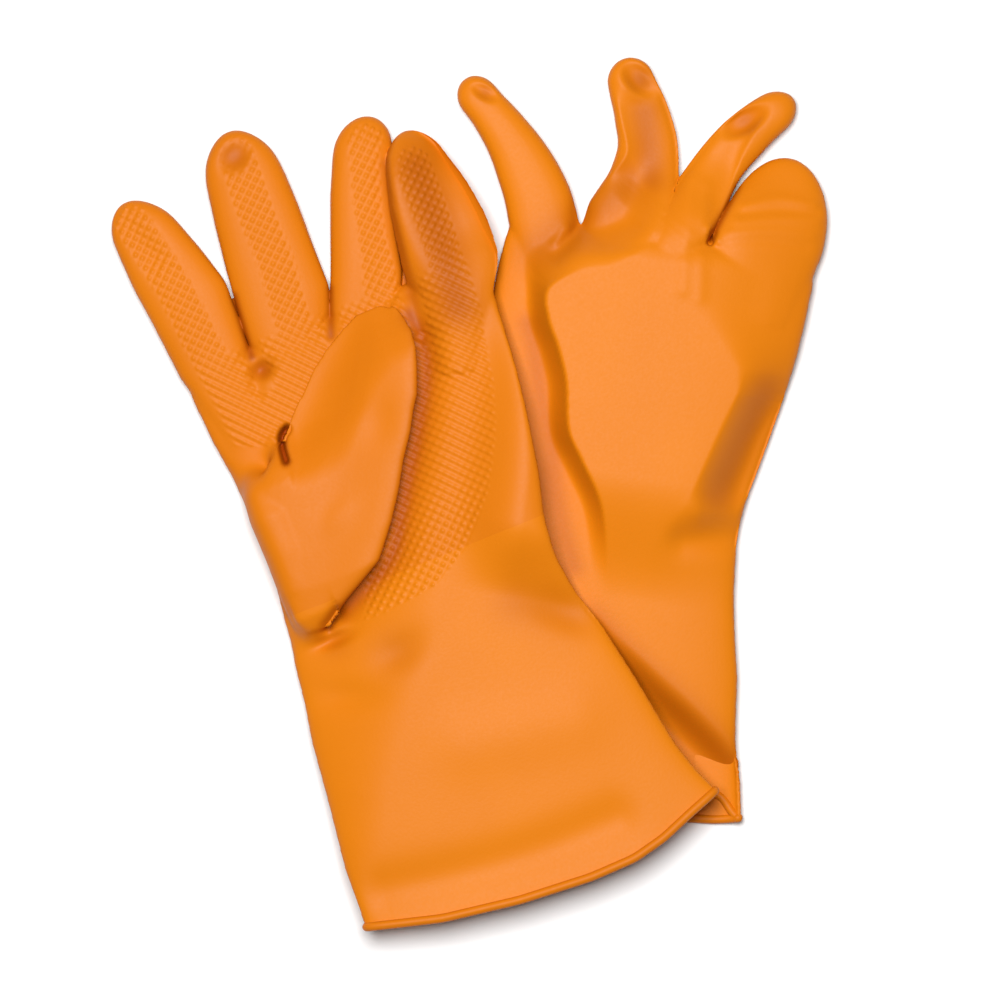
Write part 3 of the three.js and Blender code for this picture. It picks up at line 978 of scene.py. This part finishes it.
def addBead(side, material):
    loop = np.array([tuple(point) for point in loops[side]])[:-1]
    for _ in range(6):
        loop = (np.roll(loop, 1, 0) + loop + np.roll(loop, -1, 0)) / 3
    loop[:, 2] = np.maximum(loop[:, 2], (bead["radius"] + 0.2) * 0.001)
    curve = bpy.data.curves.new(f"{side}_cuff_roll", "CURVE")
    curve.dimensions = "3D"
    curve.bevel_depth = bead["radius"] * 0.001
    curve.bevel_resolution = bead["steps"]
    spline = curve.splines.new("POLY")
    spline.points.add(len(loop) - 1)
    spline.points.foreach_set("co", np.hstack([loop, np.ones((len(loop), 1))]).ravel())
    spline.use_cyclic_u = True
    rolled = bpy.data.objects.new("roll", curve)
    bpy.context.scene.collection.objects.link(rolled)
    bpy.context.view_layer.update()
    mesh = bpy.data.meshes.new_from_object(rolled.evaluated_get(bpy.context.evaluated_depsgraph_get()))
    bpy.data.objects.remove(rolled)
    mesh.name = f"{side}_cuff_roll"
    obj = bpy.data.objects.new(mesh.name, mesh)
    bpy.context.scene.collection.objects.link(obj)
    mesh.materials.clear()
    mesh.materials.append(material)
    for polygon in mesh.polygons:
        polygon.use_smooth = True
    return obj


for side, handMaterial in (("right", smoothRubber), ("left", gripRubber)):
    parts = dividePieces(side, meshes[side], handMaterial)
    glove = f"{side}_glove"
    parts["gauntlet"].data.materials[0] = smoothRubber
    roll = addBead(side, beadRubber)
    if side == "right":
        bm = bmesh.new()
        addTube(bm, digitSections(rightThumb, 0), 32)
        bmesh.ops.recalc_face_normals(bm, faces=bm.faces)
        mesh = bpy.data.meshes.new("right_thumb_rubber")
        bm.to_mesh(mesh)
        bm.free()
        mesh.transform(Matrix.Scale(0.001, 4) @ toRow["right"])
        for polygon in mesh.polygons:
            polygon.use_smooth = True
        mesh.materials.append(smoothRubber)
        parts["thumb"] = bpy.data.objects.new(mesh.name, mesh)
        bpy.context.scene.collection.objects.link(parts["thumb"])
    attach(parts["hand"], glove)
    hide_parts(f"{side}_hand")
    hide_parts(f"{side}_gauntlet")
    if side == "right":
        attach(parts["gauntlet"], glove)
        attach(roll, glove)
    else:
        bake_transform(parts["gauntlet"])
        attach(roll, "left_cuff")
    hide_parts(f"{side}_cuff_bead")
    for name in fingers:
        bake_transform(parts[name])
        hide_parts(f"{side}_{name}")
    if side == "left":
        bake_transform(parts["thumb"])
    else:
        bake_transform(parts["thumb"])
    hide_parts(f"{side}_thumb")
print("pieces placed")


# floor, light and camera

studio = {
    "floor": (0.84, 0.84, 0.84),
    "across": 0.38,
    "camera": (0.0110, -0.0032, 3.0),
    "keyPower": 37,
    "keySize": 0.7,
    "keyPlace": (-0.1, 0.25, 1.6),
    "sky": 0.1,
    "paperRoughness": 0.9,
    "sensor": 36,
    "focusHeight": 0.012,  # across is measured at this height
}

bm = bmesh.new()
bmesh.ops.create_grid(bm, x_segments=1, y_segments=1, size=4)
floorMesh = bpy.data.meshes.new("studioFloor")
bm.to_mesh(floorMesh)
bm.free()
floor = bpy.data.objects.new("studioFloor", floorMesh)
bpy.context.scene.collection.objects.link(floor)
paper = bpy.data.materials.new("whitePaper")
paper.use_nodes = True
paper.node_tree.nodes["Principled BSDF"].inputs["Base Color"].default_value = (*studio["floor"], 1)
paper.node_tree.nodes["Principled BSDF"].inputs["Roughness"].default_value = studio["paperRoughness"]
floorMesh.materials.append(paper)

world = bpy.data.worlds.new("studioSky")
world.use_nodes = True
world.node_tree.nodes["Background"].inputs["Color"].default_value = (1, 1, 1, 1)
world.node_tree.nodes["Background"].inputs["Strength"].default_value = studio["sky"]
bpy.context.scene.world = world


def addSoftbox(name, place, size, power):
    lamp = bpy.data.lights.new(name, "AREA")
    lamp.shape, lamp.size, lamp.energy = "SQUARE", size, power
    obj = bpy.data.objects.new(name, lamp)
    obj.location = place
    obj.rotation_euler = (Vector((0, 0, 0)) - Vector(place)).to_track_quat("-Z", "Y").to_euler()
    bpy.context.scene.collection.objects.link(obj)


addSoftbox("overheadSoftbox", studio["keyPlace"], studio["keySize"], studio["keyPower"])

lens = bpy.data.cameras.new("copyStand")
lens.sensor_width = studio["sensor"]
lens.lens = studio["sensor"] * (studio["camera"][2] - studio["focusHeight"]) / studio["across"]
lens.clip_end = 20
camera = bpy.data.objects.new("copyStand", lens)
camera.location = studio["camera"]
bpy.context.scene.collection.objects.link(camera)
bpy.context.scene.camera = camera
bpy.context.scene.view_settings.view_transform = "Standard"
print("studio set")
